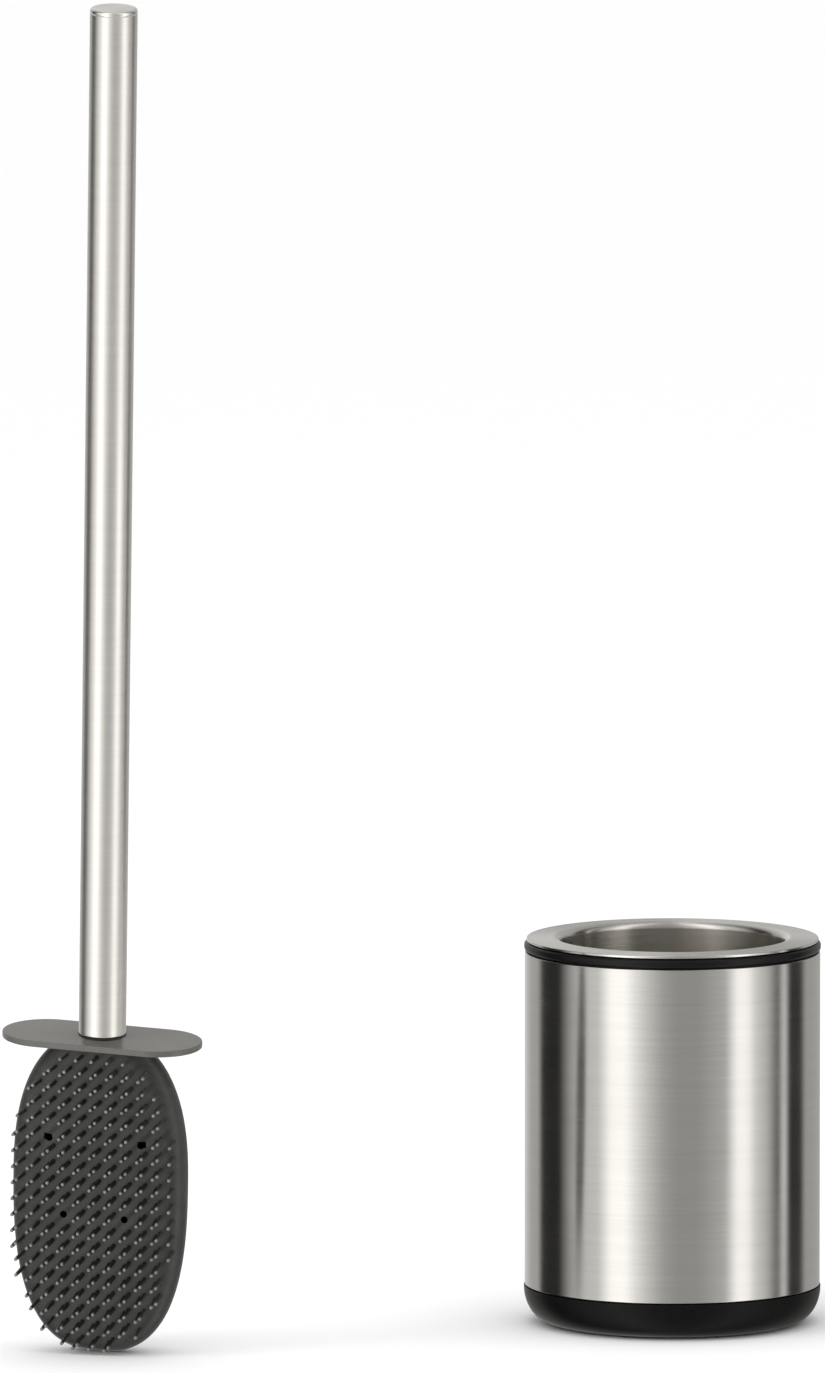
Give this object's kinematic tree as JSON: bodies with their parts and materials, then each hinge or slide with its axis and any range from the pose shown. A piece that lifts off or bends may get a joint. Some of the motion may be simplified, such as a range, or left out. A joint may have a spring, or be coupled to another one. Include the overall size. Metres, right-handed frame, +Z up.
{
  "type": "toilet brush holder",
  "caption": "Round steel toilet brush holder with a lift-out rolled-lip cup, black rim and base; its brush with a flat studded rubber head and tube handle stands beside it.",
  "frame": {"origin": "middle of the holder's foot pad, on the floor", "axes": "+Z up along the holder; -Y is the front of the holder, towards the viewer; the brush stands to the -X side and a little in front"},
  "size_m": [0.2483, 0.1623, 0.4137],
  "materials": {
    "outer_sleeve": "fine brushed round the tube, satin",
    "base_cup": "black, soft gloss",
    "foot_pad": "matt black rubber",
    "rim_collar": "black, soft gloss",
    "liner_cup": "fine brushed, spun lip",
    "head_skin": "charcoal soft rubber",
    "head_core": "dark moulded plastic",
    "threaded_stud": "plain steel rod",
    "splash_guard": "warm grey, satin",
    "handle_seal_ring": "black rubber",
    "handle_tube": "fine satin, close to polished",
    "handle_insert": "dark moulded plastic",
    "handle_end_cap": "satin disc"
  },
  "bodies": {
    "holder": {"outer_sleeve": "outer_sleeve", "base_cup": "base_cup", "foot_pad": "foot_pad", "rim_collar": "rim_collar"},
    "liner": {"liner_cup": "liner_cup"},
    "brush": {"head_skin": "head_skin", "head_core": "head_core", "threaded_stud": "threaded_stud", "splash_guard": "splash_guard"},
    "seal": {"handle_seal_ring": "handle_seal_ring"},
    "handle": {"handle_tube": "handle_tube", "handle_insert": "handle_insert", "handle_end_cap": "handle_end_cap"}
  },
  "joints": [
    {"name": "liner_lift", "type": "slide", "parent": "holder", "child": "liner", "axis": [0, 0, 1], "range_m": [0, 0.19]},
    {"name": "brush_carry", "type": "slide", "parent": "holder", "child": "brush", "axis": [0.6074, 0.2339, 0.7592], "range_m": [0, 0.28569]},
    {"name": "seal_lift", "type": "slide", "parent": "brush", "child": "seal", "axis": [0.0137, -0.1184, 0.9929], "range_m": [0, 0.0064]},
    {"name": "handle_unscrew", "type": "hinge", "parent": "seal", "child": "handle", "pos_m": [-0.17283, -0.07274, 0.09939], "axis": [0.0137, -0.1184, 0.9929], "range_deg": [0, 2885]}
  ],
  "couplings": [
    {"joint": "handle_unscrew", "follows": "seal_lift", "rad_per_m": 7854}
  ]
}
